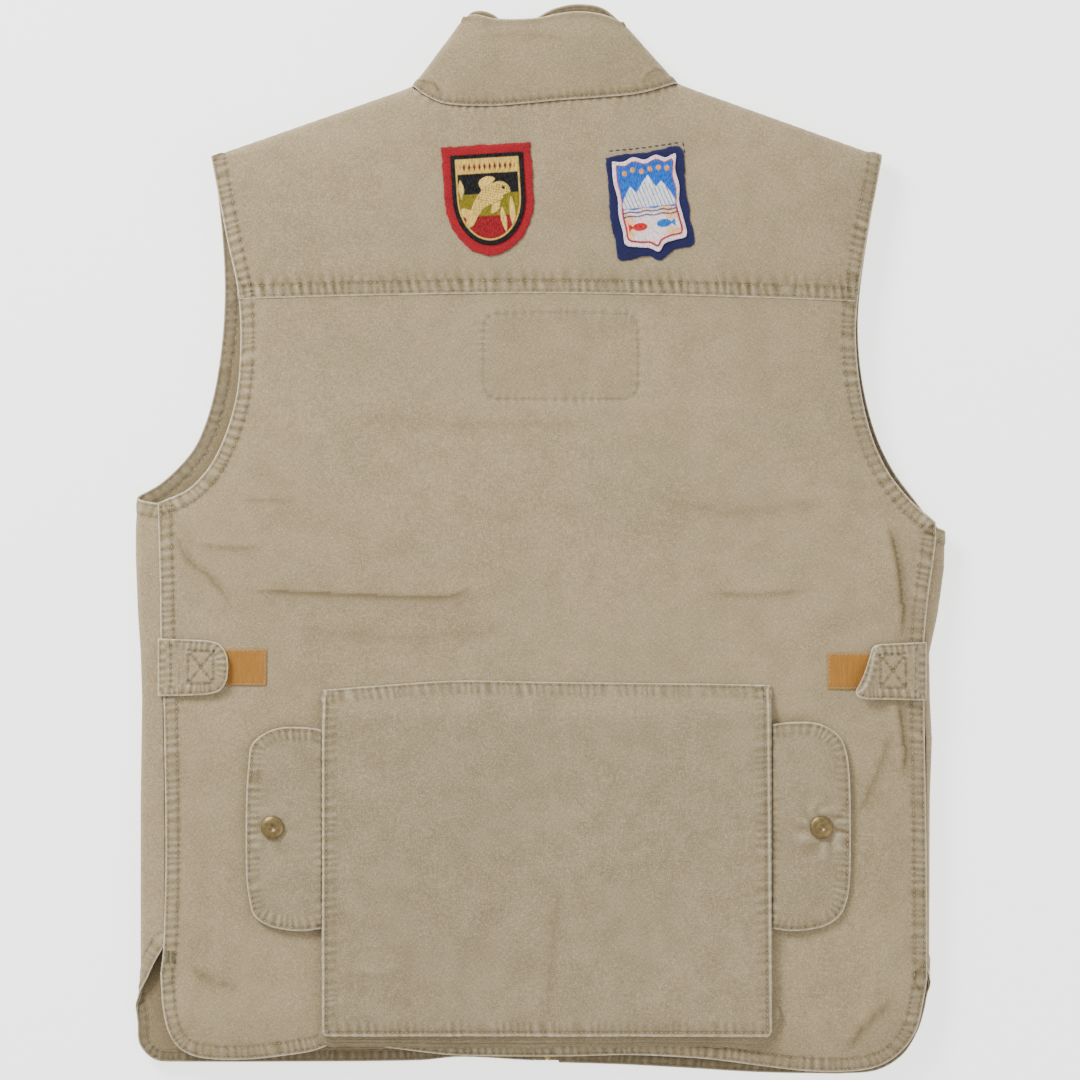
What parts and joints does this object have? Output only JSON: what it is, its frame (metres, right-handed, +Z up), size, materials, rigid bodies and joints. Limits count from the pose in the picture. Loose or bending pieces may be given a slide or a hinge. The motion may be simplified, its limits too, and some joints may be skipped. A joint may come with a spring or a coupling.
{
  "type": "fishing vest",
  "caption": "Sleeveless fishing vest laid flat, back up: yoke, stand collar, bellows back pouch with snap flaps, side tabs, front zip and bellows front pockets.",
  "frame": {"origin": "under the middle of the vest, on the surface that it lies on", "axes": "+Z up, out of the vest's back; +Y from the hem to the collar; +X towards the wearer's right side"},
  "size_m": [0.568, 0.752, 0.0336],
  "materials": {
    "shell_cloth": "washed cotton",
    "lining_cloth": "washed cotton",
    "felt_red": "felt",
    "felt_blue": "felt",
    "embroidery_gold": "embroidered",
    "embroidery_blue": "embroidered",
    "loop_tape": "loop pile",
    "snap_metal": "dull antique",
    "zip_metal": "satin",
    "zip_tape": "woven tape"
  },
  "bodies": {
    "vest": {"armhole_facing_left": "lining_cloth", "armhole_facing_right": "lining_cloth", "back_panel": "shell_cloth", "chest_pocket_left": "shell_cloth", "chest_pocket_right": "shell_cloth", "chest_snap_stud_left": "snap_metal", "chest_snap_stud_right": "snap_metal", "collar_inner": "lining_cloth", "collar_outer": "shell_cloth", "crest_patch_face": "embroidery_blue", "crest_patch_felt": "felt_blue", "front_left": "shell_cloth", "front_right": "shell_cloth", "hem_facing_back": "lining_cloth", "hem_facing_left": "lining_cloth", "hem_facing_right": "lining_cloth", "inner_label": "lining_cloth", "loop_tape_left": "loop_tape", "loop_tape_right": "loop_tape", "lower_pocket_left": "shell_cloth", "lower_pocket_right": "shell_cloth", "lower_snap_stud_left": "snap_metal", "lower_snap_stud_right": "snap_metal", "pouch_gusset": "shell_cloth", "pouch_panel": "shell_cloth", "shield_patch_face": "embroidery_gold", "shield_patch_felt": "felt_red", "snap_stud_left": "snap_metal", "snap_stud_right": "snap_metal", "tab_base_left": "shell_cloth", "tab_base_right": "shell_cloth", "yoke": "shell_cloth", "zip_box": "zip_metal", "zip_tape_left": "zip_tape", "zip_tape_right": "zip_tape", "zip_teeth_left": "zip_metal", "zip_teeth_right": "zip_metal"},
    "pouch_flap_left": {"pouch_flap_left": "shell_cloth", "snap_cap_left": "snap_metal", "snap_socket_left": "snap_metal"},
    "tab_left": {"tab_left": "shell_cloth", "hook_tape_left": "loop_tape"},
    "lower_flap_left": {"lower_flap_left": "shell_cloth", "lower_snap_cap_left": "snap_metal"},
    "chest_flap_left": {"chest_flap_left": "shell_cloth", "chest_snap_cap_left": "snap_metal"},
    "pouch_flap_right": {"pouch_flap_right": "shell_cloth", "snap_cap_right": "snap_metal", "snap_socket_right": "snap_metal"},
    "tab_right": {"tab_right": "shell_cloth", "hook_tape_right": "loop_tape"},
    "lower_flap_right": {"lower_flap_right": "shell_cloth", "lower_snap_cap_right": "snap_metal"},
    "chest_flap_right": {"chest_flap_right": "shell_cloth", "chest_snap_cap_right": "snap_metal"},
    "zip_slider": {"zip_slider": "zip_metal"},
    "zip_pull": {"zip_pull": "zip_metal"}
  },
  "joints": [
    {"name": "pouch_flap_left_hinge", "type": "hinge", "parent": "vest", "child": "pouch_flap_left", "pos_m": [-0.157, -0.201, 0.0327], "axis": [0, 1, 0], "range_deg": [0, 165]},
    {"name": "tab_left_hinge", "type": "hinge", "parent": "vest", "child": "tab_left", "pos_m": [-0.25776, -0.09, 0.0288], "axis": [0, -1, 0], "range_deg": [0, 160]},
    {"name": "lower_flap_left_hinge", "type": "hinge", "parent": "vest", "child": "lower_flap_left", "pos_m": [-0.136, -0.162, 0.013], "axis": [1, 0, 0], "range_deg": [0, 88]},
    {"name": "chest_flap_left_hinge", "type": "hinge", "parent": "vest", "child": "chest_flap_left", "pos_m": [-0.12, 0.157, 0.013], "axis": [1, 0, 0], "range_deg": [0, 88]},
    {"name": "pouch_flap_right_hinge", "type": "hinge", "parent": "vest", "child": "pouch_flap_right", "pos_m": [0.157, -0.201, 0.0327], "axis": [0, -1, 0], "range_deg": [0, 165]},
    {"name": "tab_right_hinge", "type": "hinge", "parent": "vest", "child": "tab_right", "pos_m": [0.25776, -0.09, 0.0288], "axis": [0, 1, 0], "range_deg": [0, 160]},
    {"name": "lower_flap_right_hinge", "type": "hinge", "parent": "vest", "child": "lower_flap_right", "pos_m": [0.136, -0.162, 0.013], "axis": [1, 0, 0], "range_deg": [0, 88]},
    {"name": "chest_flap_right_hinge", "type": "hinge", "parent": "vest", "child": "chest_flap_right", "pos_m": [0.12, 0.157, 0.013], "axis": [1, 0, 0], "range_deg": [0, 88]},
    {"name": "zip_slide", "type": "slide", "parent": "vest", "child": "zip_slider", "axis": [0, -1, 0], "range_m": [0, 0.6]},
    {"name": "zip_pull_hinge", "type": "hinge", "parent": "zip_slider", "child": "zip_pull", "pos_m": [0, 0.246, 0.0115], "axis": [1, 0, 0], "range_deg": [0, 165]}
  ]
}
